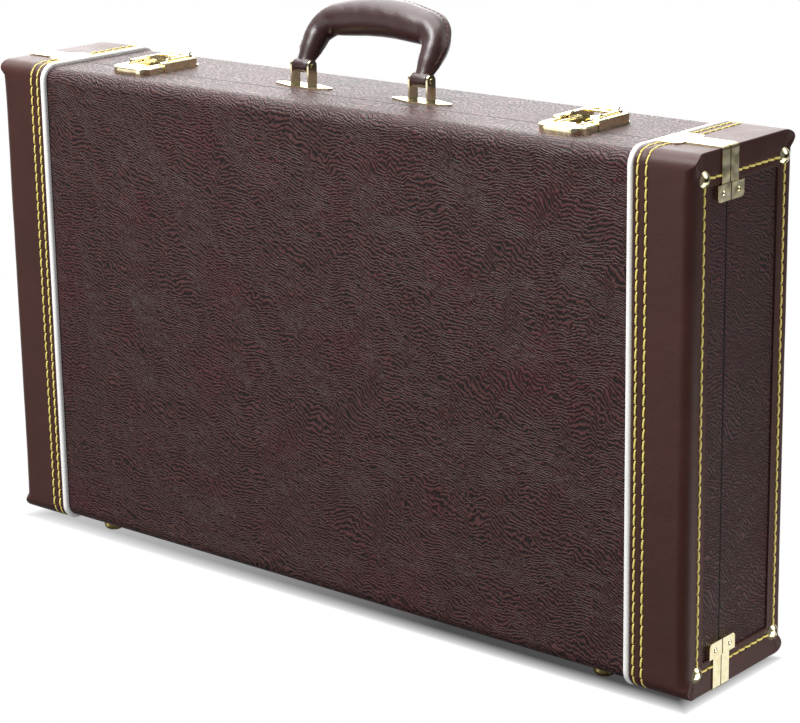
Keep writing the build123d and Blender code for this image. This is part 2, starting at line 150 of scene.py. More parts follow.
class Tree:
    """A tree of nodes, with one method that adds a node of any kind."""

    def __init__(self, owner):
        owner.use_nodes = True
        self.nodes = owner.node_tree.nodes
        self.links = owner.node_tree.links

    def node(self, kind, settings=(), sockets=(), output=0):
        """Adds a node with its settings and inputs, and gives back one of its outputs."""
        made = self.nodes.new(kind)
        for name, value in dict(settings).items():
            setattr(made, name, value)
        for name, value in dict(sockets).items():
            self.plug(made.inputs[name], value)
        return Signal(self, made.outputs[output])

    def plug(self, socket, value):
        if isinstance(value, Signal):
            self.links.new(value.socket, socket)
        else:
            socket.default_value = value

    def vector(self, operation, *values, output=0, **more):
        sockets = {**dict(enumerate(values)), **more}
        return self.node("ShaderNodeVectorMath", {"operation": operation}, sockets, output)

    def coordinate(self, spot, number):
        """One coordinate of a place: 0 is x, 1 is y and 2 is z."""
        return self.node("ShaderNodeSeparateXYZ", sockets={0: spot}, output=number)

    def between(self, value, low, high, start=0.0, end=1.0, ease="LINEAR"):
        """Runs from start to end as the value goes from low to high."""
        sockets = {0: value, 1: low, 2: high, 3: start, 4: end}
        return self.node("ShaderNodeMapRange", {"interpolation_type": ease}, sockets)


print("trees are ready")

# %% [markdown]
# ## Studio
#
# The case stands in a white studio: bright walls behind it and above, a dimmer room on the camera's
# side, and one large soft lamp overhead. Polished brass is only as good as what it mirrors, so the
# world changes slowly from white to grey round the case, and no lamp shows as a dot. The brass of
# the end faces mirrors a dark corner of the room, with a window above it and a patch of white floor
# below it. A light panel overhead gives rounded edges their shine, and the pale floor in front
# shows in the brass that faces the camera.

# %% World
world = bpy.data.worlds.new("studio")
bpy.context.scene.world = world
studio = Tree(world)

wall_side = Vector((-0.5, 0.72, 0.48)).normalized()
dark_corner = Vector((0.7, 0.7, -0.1)).normalized()
lit_floor = Vector((0.49, 0.77, -0.41)).normalized()
front_floor = Vector((-0.6, -0.75, -0.27)).normalized()
light_panel = Vector((-0.3, 0.05, 0.95)).normalized()
high_window = Vector((0.75, 0.42, 0.51)).normalized()
room_level, mirrored_room_level, wall_level = 0.34, 0.16, 1.0
front_level, panel_level, window_level = 0.9, 5.0, 2.0


def eased(value, low, high, start=0.0, end=1.0):
    """A soft step of the studio's light as a value goes from low to high."""
    return studio.between(value, low, high, start, end, "SMOOTHSTEP")


gaze = studio.node("ShaderNodeTexCoord")
toward_wall, toward_corner, toward_floor, toward_front, toward_panel, toward_window = (
    studio.vector("DOT_PRODUCT", gaze, side, output=1)
    for side in (wall_side, dark_corner, lit_floor, front_floor, light_panel, high_window)
)
is_seen = studio.node("ShaderNodeLightPath", output=0)
is_mirrored = studio.node("ShaderNodeLightPath", output=3)
room = room_level - is_mirrored * (room_level - mirrored_room_level)
lit_walls = eased(toward_wall, 0.0, 0.6, room, wall_level)
walls = lit_walls * (1 - is_mirrored * eased(toward_corner, 0.5, 0.85) * 0.9)
bright = eased(toward_floor, 0.972, 0.99) * (wall_level - walls)
bright += eased(toward_front, 0.955, 0.98) * front_level
bright += eased(toward_panel, 0.78, 0.9) * panel_level
bright += eased(toward_window, 0.9, 0.97) * window_level
level = walls + is_mirrored * bright
shown = level + is_seen * (1 - level)
studio.plug(studio.nodes["Background"].inputs["Strength"], shown)
studio.plug(studio.nodes["Background"].inputs["Color"], (1, 1, 1, 1))
bpy.context.scene.view_settings.view_transform = "Standard"
print("world from", room_level, "to", wall_level)

# %% Lamps
def soft_lamp(name, watts, size, place, target):
    """A square area lamp that points at a target and doesn't show in the picture."""
    lamp = bpy.data.objects.new(name, bpy.data.lights.new(name, "AREA"))
    bpy.context.scene.collection.objects.link(lamp)
    lamp.data.energy = watts
    lamp.data.size = size
    lamp.location = place
    lamp.rotation_mode = "QUATERNION"
    lamp.rotation_quaternion = (Vector(target) - Vector(place)).to_track_quat("-Z", "Y")
    lamp.visible_camera = False
    print(name, watts, "W")


soft_lamp("key_softbox", 36, 0.65, (-0.45, -1.05, 1.75), (0, 0, 0.2))
soft_lamp("fill_softbox", 9, 1.4, (-0.7, -2.0, 0.6), (0, 0, 0.2))
soft_lamp("back_softbox", 70, 2.6, (-1.67, 2.0, 1.15), (0, 0, 0.3))
soft_lamp("floor_bounce", 1.6, 0.5, (0.75, 0.1, -0.15), (0.32, 0, 0.05))

# %% [markdown]
# The floor is as white as the walls, so only the shadow of the case tells where it is. The card
# below is clear, and turns grey under the case. The shade ends close to the outline of the case,
# and it is lighter at the left end, where most of the light comes from.

# %% Floor with its soft shade
half_length, half_depth = 0.3175, 0.059
shade_outside, shade_inside = 0.001, -0.016
darkness_places, darkness_levels = (-0.32, 0.1), (0.45, 0.93)
card_x_end, card_y_end = 0.6, 0.35

card_corners = [
    (x * card_x_end, y * card_y_end, 0) for x, y in ((-1, -1), (1, -1), (1, 1), (-1, 1))
]
card_mesh = bpy.data.meshes.new("floor_card")
card_mesh.from_pydata(card_corners, [], [(0, 1, 2, 3)])
floor_card = bpy.data.objects.new("floor_card", card_mesh)
bpy.context.scene.collection.objects.link(floor_card)
card_material = bpy.data.materials.new("floor_shade")
card = Tree(card_material)
card_spot = card.node("ShaderNodeTexCoord", output=3)
card_x, card_y = card.coordinate(card_spot, 0), card.coordinate(card_spot, 1)
beyond_end = abs(card_x) - half_length
from_outline = beyond_end.maths("MAXIMUM", beyond_end, abs(card_y) - half_depth)
shade = card.between(from_outline, shade_outside, shade_inside)
darkness = card.between(card_x, *darkness_places, *darkness_levels)
card_shader = card.nodes["Principled BSDF"]
card.plug(card_shader.inputs["Base Color"], (0.03, 0.032, 0.035, 1))
card.plug(card_shader.inputs["Roughness"], 1.0)
card.plug(card_shader.inputs["Specular IOR Level"], 0.0)
card.plug(card_shader.inputs["Alpha"], shade ** 0.6 * darkness)
card_mesh.materials.append(card_material)
floor_card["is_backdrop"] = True
print("shade ends", shade_outside / mm, "mm outside the case")

# %% [markdown]
# ## Finishes
#
# Each finish is a `Finish`: a material, its shader and a few helpers that measure in millimetres.
# Colours are written as they look in the picture. The change over a surface only reaches its
# colour, roughness and relief, which is all that a baked copy of the model can keep.

# %% Finish helpers
def rgb(red, green, blue):
    """A colour as a picture editor writes it, from 0 to 255, as the renderer's linear light."""
    shares = (red / 255, green / 255, blue / 255)
    return (*(c / 12.92 if c <= 0.04045 else ((c + 0.055) / 1.055) ** 2.4 for c in shares), 1)


class Finish(Tree):
    """A material with one Principled shader."""

    def __init__(self, name, **values):
        self.material = bpy.data.materials.new(name)
        super().__init__(self.material)
        self.shader = self.nodes["Principled BSDF"]
        self.set(**values)

    def set(self, **values):
        """Values or signals of the shader's sockets: base_color sets Base Color."""
        for name, value in values.items():
            socket = name.replace("_", " ").title().replace("Ior", "IOR")
            self.plug(self.shader.inputs[socket], value)

    def place(self, stretch=(1, 1, 1)):
        """The point of the piece in millimetres, squeezed or stretched along its axes."""
        spot = self.node("ShaderNodeTexCoord", output=3)
        return self.vector("MULTIPLY", spot, [share / mm for share in stretch])

    def warp(self, spot, size, amount):
        """A place pushed about by slow noise, of one size and strength in millimetres."""
        wobble = self.node(
            "ShaderNodeTexNoise", sockets={"Vector": spot, "Scale": 1 / size, "Detail": 1}, output=1
        )
        centred = self.vector("SUBTRACT", wobble, (0.5, 0.5, 0.5))
        return self.vector("ADD", spot, self.vector("SCALE", centred, Scale=2 * amount))

    def noise(self, spot, size, detail=2, roughness=0.5):
        """Noise round 0.5, with lumps of one size in millimetres."""
        sockets = {"Vector": spot, "Scale": 1 / size, "Detail": detail, "Roughness": roughness}
        return self.node("ShaderNodeTexNoise", sockets=sockets)

    def cells(self, spot, size):
        """Distance to the middle of the nearest cell, with cells of one size in millimetres."""
        return self.node("ShaderNodeTexVoronoi", sockets={"Vector": spot, "Scale": 1 / size})

    def mix(self, share, first, second):
        """A colour between two others."""
        sockets = {0: share, 6: first, 7: second}
        return self.node("ShaderNodeMix", {"data_type": "RGBA"}, sockets, output=2)

    def relief(self, height, depth):
        """Bumps of up to depth millimetres, into the shader's Normal."""
        sockets = {"Distance": depth * mm, "Height": height}
        self.set(normal=self.node("ShaderNodeBump", sockets=sockets))


print("finish helpers are ready")

# %% [markdown]
# ### Embossed vinyl
#
# The covering is pressed with a wrinkled hide grain: thin wavy ridges that lie along the case,
# 2 to 3 mm apart, with creases between them. The colour is painted paler on the ridges and darker
# in the creases, as painted highlight and painted shade of that relief. A plain wave makes the
# ridges. Noise of three sizes pushes the wave about, so that the ridges wander, waver and break.
# The print also has a reddish cast in patches as wide as a hand. The grain stops at the seam and
# beside the piping, where the colour turns to the dark crease colour: a dark line along the seam,
# and a painted shadow line beside the proud piping.

# %% Embossed vinyl
seam_y, piping_edge = -18.5 * mm, 268.1 * mm
ridge_spacing, ridge_way = 2.4, (0.25, 0.55, 1)
warps = ((50, 15), (9, 3.2), (2.4, 1.1))


def embossed_vinyl():
    """The wrinkled covering of the shell."""
    vinyl = Finish("embossed_vinyl", specular_ior_level=0.32)
    spot = wrinkled = vinyl.place()
    for size, amount in warps:
        wrinkled = vinyl.warp(wrinkled, size, amount)
    across = vinyl.vector("DOT_PRODUCT", wrinkled, ridge_way, output=1)
    ridges = across.maths("SINE", across * (math.tau / ridge_spacing)) * 0.5 + 0.5
    lumps = vinyl.noise(vinyl.vector("MULTIPLY", wrinkled, (0.5, 0.6, 1)), 1.0, 2, 0.6)
    along, depth = vinyl.coordinate(spot, 0), vinyl.coordinate(spot, 1)
    seam = vinyl.between(abs(depth - seam_y / mm), 0.4, 1.0)
    # Painted shadow: beside the proud piping this mask takes the grain to 0, so a thin line there
    # takes the dark crease colour.
    clear_of_piping_shadow = vinyl.between(abs(abs(along) - piping_edge / mm), 0.3, 1.5)
    grain_and_shade = (ridges * 0.5 + lumps * 0.5) * seam * clear_of_piping_shadow
    red_patch = vinyl.between(vinyl.noise(spot, 60, 1), 0.5, 0.75)
    # Painted shade and painted highlight: the colour runs from the dark crease colour to the pale
    # ridge colour with the relief, and the reddish patches are the print's own tint.
    dark = vinyl.mix(red_patch, rgb(16, 4, 6), rgb(25, 4, 8))
    light = vinyl.mix(red_patch, rgb(86, 50, 48), rgb(90, 43, 46))
    vinyl.set(base_color=vinyl.mix(vinyl.between(grain_and_shade, 0.3, 0.8), dark, light))
    vinyl.set(roughness=0.56 - grain_and_shade * 0.16)
    vinyl.relief(grain_and_shade, 0.75)
    return vinyl.material


vinyl_grain = embossed_vinyl()
print("embossed vinyl has", len(vinyl_grain.node_tree.nodes), "nodes")

# %% [markdown]
# ### Smooth vinyl and thread
#
# The caps are a softer, nearly smooth vinyl. It still has fine pores, a faint cloudiness, and
# shallow dents where it was pulled over the corners. The thread is a waxed yellow cord, striped
# along its twist. Its colour is painted darker in the twist's grooves and paler on its crests, as
# painted shade and painted highlight.

# %% Smooth vinyl, piping and thread
def smooth_vinyl(name, colour, cloud, roughness, gloss=0.45):
    """Soft vinyl or leather with pores and clouds."""
    vinyl = Finish(name, specular_ior_level=gloss)
    spot = vinyl.place()
    clouds = vinyl.between(vinyl.noise(spot, 38, 3), 0.35, 0.7)
    pores = vinyl.cells(vinyl.warp(spot, 3, 0.8), 0.9)
    dents = vinyl.noise(spot, 14, 2)
    vinyl.set(base_color=vinyl.mix(clouds, colour, cloud))
    vinyl.set(roughness=roughness + clouds * 0.06 + pores * 0.05)
    vinyl.relief(pores * 0.12 + dents * 0.9, 0.5)
    return vinyl.material


def piping_vinyl():
    """White vinyl cord, faintly grubby."""
    piping = Finish("white_piping_vinyl", specular_ior_level=0.5)
    spot = piping.place()
    grubby = piping.between(piping.noise(spot, 16, 4), 0.45, 0.8)
    piping.set(base_color=piping.mix(grubby, rgb(255, 255, 254), rgb(248, 246, 241)))
    piping.set(roughness=0.34 + grubby * 0.15)
    piping.relief(piping.noise(spot, 2.5, 2), 0.1)
    return piping.material


def waxed_thread(name, valley_with_shade, crest_with_highlight):
    """Thread with its twist."""
    thread = Finish(name, specular_ior_level=0.4)
    twist = thread.node(
        "ShaderNodeTexWave",
        {"bands_direction": "DIAGONAL"},
        {"Vector": thread.place(), "Scale": 0.55, "Distortion": 1.5},
        output=1,
    )
    # Painted shade and painted highlight: a darker valley colour in the twist's grooves and a paler
    # crest colour on its crests.
    thread.set(base_color=thread.mix(twist, valley_with_shade, crest_with_highlight))
    thread.set(roughness=0.45 + twist * 0.15)
    thread.relief(twist, 0.12)
    return thread.material


cap_vinyl = smooth_vinyl("smooth_cap_vinyl", rgb(60, 29, 22), rgb(67, 34, 27), 0.4, 0.32)
grip_leather = smooth_vinyl("grip_leather", rgb(50, 26, 26), rgb(60, 33, 33), 0.28, 0.55)
white_piping = piping_vinyl()
yellow_thread = waxed_thread("yellow_thread", rgb(248, 218, 92), rgb(255, 243, 156))
brown_thread = waxed_thread("brown_thread", rgb(60, 34, 30), rgb(120, 84, 74))
print("vinyls and thread are ready")

# %% [markdown]
# ### Brass, plywood and plush
#
# The fittings are pressed brass with a bright, pale polish. Fine scratches and a little tarnish
# change its roughness. Plywood shows only at the rims of the open case, where its plies are cut
# across. The plush is a short dark red pile over foam.

# %% Brass
def polished_brass(name, colour, worn, roughness):
    """Pale polished brass with a few scratches."""
    brass = Finish(name, metallic=1.0)
    spot = brass.place()
    tarnish = brass.between(brass.noise(spot, 6, 4), 0.45, 0.75)
    scratches = brass.noise(brass.vector("MULTIPLY", spot, (1, 6, 6)), 1.5, 3)
    brass.set(base_color=brass.mix(tarnish, colour, worn))
    brass.set(roughness=roughness + tarnish * 0.08 + scratches * 0.06)
    brass.relief(brass.noise(spot, 12, 1) + scratches * 0.02, 0.2)
    return brass.material


bright_brass = polished_brass("bright_brass", rgb(252, 242, 204), rgb(238, 218, 160), 0.09)
# The brass under the case, on the feet and hinges, is satin, and its colour is painted darker as
# painted shade, since it lies in the shadow of the case.
shaded_hidden_brass = polished_brass("satin_brass_with_shade", rgb(214, 190, 124), rgb(176, 146, 84), 0.24)
print("brass is ready")

# %% Plywood and plush
ply_thickness = 1.3


def plywood(name, across):
    """Birch plies that lie across one axis, by its number."""
    wood = Finish(name, specular_ior_level=0.3)
    spot = wood.place()
    waved = (wood.coordinate(spot, across) + wood.noise(spot, 12, 2) * 0.6) / ply_thickness
    plies = wood.between(abs(waved.maths("PINGPONG", waved, 1.0) - 0.5), 0.1, 0.4)
    stretch = [0.06, 0.06, 0.06]
    stretch[across] = 1
    fibres = wood.noise(wood.place(stretch), 0.9, 4, 0.7)
    pale = wood.mix(fibres, rgb(186, 150, 104), rgb(222, 192, 150))
    wood.set(base_color=wood.mix(plies * 0.5, pale, rgb(140, 100, 62)))
    wood.set(roughness=0.65 + fibres * 0.15)
    wood.relief(fibres + plies * 0.4, 0.25)
    return wood.material


def plush_pile(name, colour, lit):
    """Short pile that catches light in brushed patches."""
    pile = Finish(
        name, roughness=0.9, specular_ior_level=0.15, sheen_weight=0.6, sheen_roughness=0.4
    )
    spot = pile.place()
    brushed = pile.between(pile.noise(pile.warp(spot, 30, 12), 26, 2), 0.4, 0.65)
    tufts = pile.noise(spot, 1.1, 3, 0.7)
    pile.set(base_color=pile.mix(brushed * 0.5 + tufts * 0.5, colour, lit))
    pile.relief(tufts, 0.7)
    return pile.material


plies_by_axis = [plywood(f"plywood_{axis}", number) for number, axis in enumerate("xyz")]
red_plush = plush_pile("red_plush", rgb(88, 22, 34), rgb(150, 52, 66))
print("plywood and plush are ready")

# %% [markdown]
# ### Finishes on the engineering pieces
#
# A piece whose shape is right keeps it and only changes its material. Its name says what it is made
# of, so a short table of name endings is enough.

# %% Dress the engineering pieces
endings_of_finish = {
    vinyl_grain: ("covering",),
    white_piping: ("piping_left", "piping_right"),
    bright_brass: (
        "clips_left", "clips_right", "dome_nails", "clip_rivets", "latch_rivets", "handle_screws",
        "catch", "lever_plate", "lever", "bail", "bracket_left", "bracket_right", "lever_pins",
        "handle_pins",
    ),
    shaded_hidden_brass: ("feet", "hinge_rivets", "hinge_pins", "leaf"),
    plies_by_axis[0]: ("left_wall", "right_wall"),
    plies_by_axis[1]: ("face_board",),
    plies_by_axis[2]: ("top_wall", "bottom_wall"),
}
dressed = 0
for name, piece in nodes.items():
    for material, endings in endings_of_finish.items():
        if name.endswith(endings):
            piece.data.materials.clear()
            piece.data.materials.append(material)
            dressed += 1
            break
print(dressed, "of", len(nodes), "pieces dressed")

# %% [markdown]
# ## Meshes swept along a line
#
# The soft pieces are all swept: a closed section is carried along a line, and its points are joined
# to those of the next section. The ends are closed with a face, so each piece is one watertight
# skin.

# %% Sweep helpers
def clamped(value):
    """The number from 0 to 1 that is nearest to a value."""
    return min(max(value, 0), 1)


def piece_from(name, corners, faces, material, body, slot):
    """A smooth-shaded object with its material, which rides on a body. Its slot is not used."""
    mesh = bpy.data.meshes.new(name)
    mesh.from_pydata([tuple(c) for c in corners], [], faces)
    mesh.validate()
    mesh.shade_smooth()
    mesh.set_sharp_from_angle(angle=math.radians(38))
    mesh.materials.append(material)
    made = bpy.data.objects.new(name, mesh)
    bpy.context.scene.collection.objects.link(made)
    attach(made, body)
    return made


def skin(rings, closed=False):
    """Corners and faces of the skin over a row of rings with as many points each."""
    count = len(rings[0])
    corners = [point for ring in rings for point in ring]
    faces = []
    for row in range(len(rings) if closed else len(rings) - 1):
        here, there = row * count, (row + 1) % len(rings) * count
        for step in range(count):
            after = (step + 1) % count
            faces.append((here + step, here + after, there + after, there + step))
    if not closed:
        faces.append(tuple(reversed(range(count))))
        faces.append(tuple(range(len(corners) - count, len(corners))))
    return corners, faces


def outward(piece):
    """Makes every face of a closed mesh look outwards, and merges points that coincide."""
    built = bmesh.new()
    built.from_mesh(piece.data)
    bmesh.ops.remove_doubles(built, verts=built.verts, dist=0.00001)
    bmesh.ops.dissolve_degenerate(built, dist=0.000005, edges=built.edges)
    bmesh.ops.recalc_face_normals(built, faces=built.faces)
    built.to_mesh(piece.data)
    built.free()
    return piece


print("sweep helpers are ready")

# %% [markdown]
# ## End caps
#
# A cap is one sheet of vinyl folded over the end of the case. Round the outside it follows the
# outline of its half: bottom, broad face, top. Across, it runs from the piping to the end of the
# case, turns the edge and comes in over the end face, by 20 mm along the broad face and 23 mm at
# the top and bottom. At the two outer corners the sheet is mitred, and the fold stands a few
# millimetres proud of the end. The stitches pull it in a little.

# %% Sizes of the case
bottom, top = 6 * mm, 369 * mm
seam_gap = 0.4 * mm
cap_start, cap_end = 272.5 * mm, 317.5 * mm
shell_end = 316 * mm
cap_depth = 2.2 * mm
cap_border, cap_border_top = 20 * mm, 23 * mm
corner_radius, mitre_radius = 10.5 * mm, 1.4 * mm
stitch_rows = (276 * mm, 282.6 * mm)
end_stitch, end_stitch_top = 12.5 * mm, 17 * mm
halves = {"base": 1, "lid": -1}
ends = {"left": -1, "right": 1}


def rim_of(side):
    """Where a half ends at the seam."""
    return seam_y + side * seam_gap / 2


# %% Outline of a half
straight_steps, corner_steps, face_steps = 14, 10, 72


def deeper(inset):
    """How much further in the folds lie at the top and bottom than along the broad faces."""
    row = end_stitch_top - end_stitch
    to_row = min(inset / end_stitch, 1)
    to_border = max(inset - end_stitch, 0) / (cap_border - end_stitch)
    return row * to_row + (cap_border_top - cap_border - row) * to_border


def outline(side, inset):
    """Points round a half at an inset from its outside, each with its turn from 0 to 5.

    The turn is 0 to 1 along the bottom, 1 to 2 round the lower corner, 2 to 3 up the broad face,
    3 to 4 round the upper corner, and 4 to 5 along the top.
    """
    start = max(corner_radius, inset + mitre_radius)
    radius = start - inset
    face = half_depth - start
    rim = rim_of(side)
    low, high = bottom + deeper(inset), top - deeper(inset)
    points = []
    for step in range(straight_steps):
        share = step / straight_steps
        points.append((share, side * (side * rim + share * (face - side * rim)), low + inset))
    for step in range(corner_steps):
        turn = step / corner_steps * math.pi / 2
        y = face + radius * math.sin(turn)
        points.append((1 + step / corner_steps, side * y, low + start - radius * math.cos(turn)))
    for step in range(face_steps):
        share = step / face_steps
        z = low + start + share * (high - low - 2 * start)
        points.append((2 + share, side * (half_depth - inset), z))
    for step in range(corner_steps):
        turn = step / corner_steps * math.pi / 2
        y = face + radius * math.cos(turn)
        points.append((3 + step / corner_steps, side * y, high - start + radius * math.sin(turn)))
    for step in range(straight_steps + 1):
        share = step / straight_steps
        points.append((4 + share, side * (face + share * (side * rim - face)), high - inset))
    return points


print(len(outline(1, 0)), "points round a half")

# %% Section across a cap
groove_width, groove_depth = 1.5 * mm, 0.45 * mm
groove_profile = ((-1, 0), (-0.5, 0.6), (0, 1), (0.5, 0.6), (1, 0))
crisp_radius, round_radius = 1.0 * mm, 8.5 * mm
round_from, round_to, round_ease = 1.7, 3.3, 0.38
insets_before_row = (9.2 * mm, 10.2 * mm)
insets_after_row = (15.5 * mm, 17.5 * mm, 19.1 * mm)
flat_steps, edge_steps, inner_steps = 6, 8, 4


def groove(middle):
    """Distances along the sheet, with how far the stitches pull it in."""
    return [
        (middle + groove_width * share, groove_depth * pull) for share, pull in groove_profile
    ]


def edge_radius(turn):
    """The end edge is round along the broad face and crisp at the corners and along the top."""
    share = clamped(min(turn - round_from, round_to - turn) / round_ease)
    return crisp_radius + (round_radius - crisp_radius) * share * share * (3 - 2 * share)


def cap_section(turn):
    """Points across the sheet and back inside, as (distance from the case's middle, inset)."""
    radius = edge_radius(turn)
    points = [
        (cap_start, cap_depth), (cap_start, 0.9 * mm), (cap_start + 0.25 * mm, 0.3 * mm),
        (cap_start + 0.9 * mm, 0),
    ]
    for row in stitch_rows:
        points += groove(row)
    flat_start = stitch_rows[-1] + 2.5 * mm
    flat_length = cap_end - 9.5 * mm - flat_start
    for step in range(flat_steps + 1):
        points.append((flat_start + flat_length * step / flat_steps, 0))
    for step in range(edge_steps + 1):
        angle = step / edge_steps * math.pi / 2
        inset = radius - radius * math.cos(angle)
        points.append((cap_end - radius + radius * math.sin(angle), inset))
    points += [(cap_end, inset) for inset in insets_before_row]
    points += [(cap_end - pull, inset) for inset, pull in groove(end_stitch)]
    points += [(cap_end, inset) for inset in insets_after_row]
    points += [(cap_end - 0.25 * mm, cap_border - 0.25 * mm), (cap_end - 0.9 * mm, cap_border)]
    points.append((shell_end, cap_border))
    inner = max(radius - 1 * mm, 0.6 * mm)
    for step in range(inner_steps + 1):
        angle = (1 - step / inner_steps) * math.pi / 2
        inset = cap_depth + inner - inner * math.cos(angle)
        points.append((shell_end - inner + inner * math.sin(angle), inset))
    return points


print(len(cap_section(2.5)), "points across a cap")

# %% [markdown]
# The flare at a corner is a bulge of the end that fades over about 30 mm along the edges. The mitre
# is a low ridge on the line from the corner to the dome nail, with a sharp side where one layer
# ends on top of the other.

# %% Make the caps
flare_top, flare_bottom = 3.0 * mm, 2.0 * mm
flare_reach, flare_length = 7 * mm, 30 * mm
mitre_height, mitre_depth = 0.3 * mm, 1.2 * mm
overlap_ease, crease_offset, crease_width = 0.12, 0.12, 0.17
wobble_height, wobble_size = 0.25 * mm, 22 * mm
end_face_from = cap_end - 1.2 * mm


def flare(x, y, z, side):
    """How far a corner of the end stands out of the end of the case."""
    upper = z > (top + bottom) / 2
    corner = Vector((side * half_depth, top if upper else bottom))
    away = (Vector((y, z)) - corner).length
    near_end = clamped((x - (cap_end - flare_length)) / flare_length) ** 2
    height = flare_top if upper else flare_bottom
    return height * math.exp(-((away / flare_reach) ** 2)) * near_end


def mitre(turn, inset):
    """The overlap of the folded sheet and the crease beside it, which run to the dome nail."""
    from_fold = (turn - 1.5) if turn < 2.5 else (3.5 - turn)
    overlap = clamped(from_fold / overlap_ease + 0.5)
    crease = math.exp(-((from_fold + crease_offset) / crease_width) ** 2)
    near = clamped((1.1 - abs(from_fold)) / 0.6)
    begins = clamped((inset - 0.5 * mm) / (2 * mm))
    ends_at_nail = clamped((19 * mm - inset) / (4 * mm))
    return (mitre_height * overlap * near - mitre_depth * crease) * begins * ends_at_nail


def cap(half, side, end_name, end):
    """One end cap of one half."""
    turns = [turn for turn, _, _ in outline(side, 0)]
    rings = []
    for index, turn in enumerate(turns):
        ring = []
        for x, inset in cap_section(turn):
            _, y, z = outline(side, inset)[index]
            wobble = wobble_height * noise.noise(Vector((end * x, y, z)) / wobble_size)
            out = x + flare(x, y, z, side)
            if x >= end_face_from:
                out += mitre(turn, inset)
            ring.append((end * out, y + (side * wobble if x < cap_end else 0), z))
        rings.append(ring)
    sheet = skin(rings)
    made = piece_from(f"{half}_cap_{end_name}_sewn", *sheet, cap_vinyl, half, "smooth_vinyl")
    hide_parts(f"{half}_cap_{end_name}")
    return outward(made)


caps = [
    cap(half, side, end_name, end)
    for half, side in halves.items()
    for end_name, end in ends.items()
]
print(len(caps), "caps with", sum(len(c.data.polygons) for c in caps), "faces")

# %% [markdown]
# ## Stitches
#
# Every stitch is a short piece of thread of its own: it rises out of one hole, lies on the vinyl
# and dives into the next. They are laid along a line of points and joined into one object for each
# row, so a row is one piece but every stitch has its real shape.

# %% Stitch helpers
def resampled(points, step):
    """Points at even distances along a line, as near to the step as fits."""
    lengths = [0]
    for first, second in zip(points, points[1:]):
        lengths.append(lengths[-1] + (Vector(second) - Vector(first)).length)
    count = max(round(lengths[-1] / step), 1)
    found, segment = [], 0
    for index in range(count + 1):
        target = lengths[-1] * index / count
        while segment < len(points) - 2 and lengths[segment + 1] < target:
            segment += 1
        span = max(lengths[segment + 1] - lengths[segment], 1e-9)
        share = clamped((target - lengths[segment]) / span)
        found.append(Vector(points[segment]).lerp(Vector(points[segment + 1]), share))
    return found


thread_sides, thread_flatness = 8, 0.8
stitch_profile = (
    (0.02, -0.9, 0.7), (0.05, -0.1, 0.9), (0.16, 0.45, 1), (0.35, 0.72, 1.08),
    (0.65, 0.72, 1.08), (0.84, 0.45, 1), (0.95, -0.1, 0.9), (0.98, -0.9, 0.7),
)


def stitch(start, finish, normal, radius, sway):
    """Rings of one stitch between two holes, on a surface with that normal."""
    along = (finish - start).normalized()
    across = along.cross(normal).normalized()
    rings = []
    for share, lift, swell in stitch_profile:
        centre = start.lerp(finish, share) + normal * lift * radius + across * sway * (share - 0.5)
        ring = []
        for step in range(thread_sides):
            angle = step * math.tau / thread_sides
            spoke = across * math.cos(angle) + normal * math.sin(angle) * thread_flatness
            ring.append(centre + spoke * radius * swell)
        rings.append(ring)
    return rings


def stitch_row(name, points, normals, body, pitch, radius, chance, thread=yellow_thread):
    """A row of stitches along a line, whose normals are read from the nearest given point."""
    corners, faces = [], []
    holes = resampled(points, pitch)
    for first, second in zip(holes, holes[1:]):
        middle = (first + second) / 2
        nearest = min(range(len(points)), key=lambda i: (Vector(points[i]) - middle).length_squared)
        normal = Vector(normals[nearest])
        more, skins = skin(stitch(first, second, normal, radius, chance.uniform(0.5, 1.3) * radius))
        faces += [tuple(index + len(corners) for index in face) for face in skins]
        corners += more
    outward(piece_from(name, corners, faces, thread, body, "smooth_vinyl"))
    return len(holes) - 1


print("a stitch has", thread_sides * len(stitch_profile), "corners")

# %% Rows along the piping and round the end faces
stitch_pitch = 7.5 * mm
band_thread, face_thread = 0.66 * mm, 0.759 * mm
chance = random.Random(7)
stitch_count = 0


def band_normal(turn, side):
    """The way that the outside of a half looks at a turn of its outline."""
    angle = (clamped(turn - 1) + clamped(turn - 3)) * math.pi / 2
    return (0, side * math.sin(angle), -math.cos(angle))


for half, side in halves.items():
    band, face = outline(side, 0.25 * mm), outline(side, end_stitch)
    for end_name, end in ends.items():
        rows = f"{half}_thread_{end_name}"
        for number, x in enumerate(stitch_rows):
            line = [(end * x, y, z) for _, y, z in band]
            normals = [band_normal(turn, side) for turn, _, _ in band]
            stitch_count += stitch_row(
                f"{rows}_{number}", line, normals, half, stitch_pitch, band_thread, chance
            )
        line = [(end * (cap_end - 0.2 * mm), y, z) for _, y, z in face]
        normals = [(end, 0, 0)] * len(line)
        stitch_count += stitch_row(
            f"{rows}_face", line, normals, half, stitch_pitch, face_thread, chance
        )
print(stitch_count, "stitches")

# %% [markdown]
# ## Handle
#
# The grip is a padded leather tube. Its line rises from one pin, turns a corner, crosses in a
# shallow arch and comes down again. The leather is wrapped round the padding and sewn along the
# outer edge, where its two layers make a thin welt. The grip leans back, so its plane is tilted.

# %% Line of the grip
handle_y, handle_z = -1.7 * mm, 382 * mm
lean = math.radians(38)
bracket_x = 55 * mm
corner_x, corner_height, peak_height = 54.5 * mm, 38 * mm, 46.8 * mm
grip_corner_radius, arch_radius = 17.4 * mm, 150 * mm
grip_step = 1.6 * mm
lean_up = Vector((0, math.sin(lean), math.cos(lean)))
lean_side = Vector((0, -math.cos(lean), math.sin(lean)))


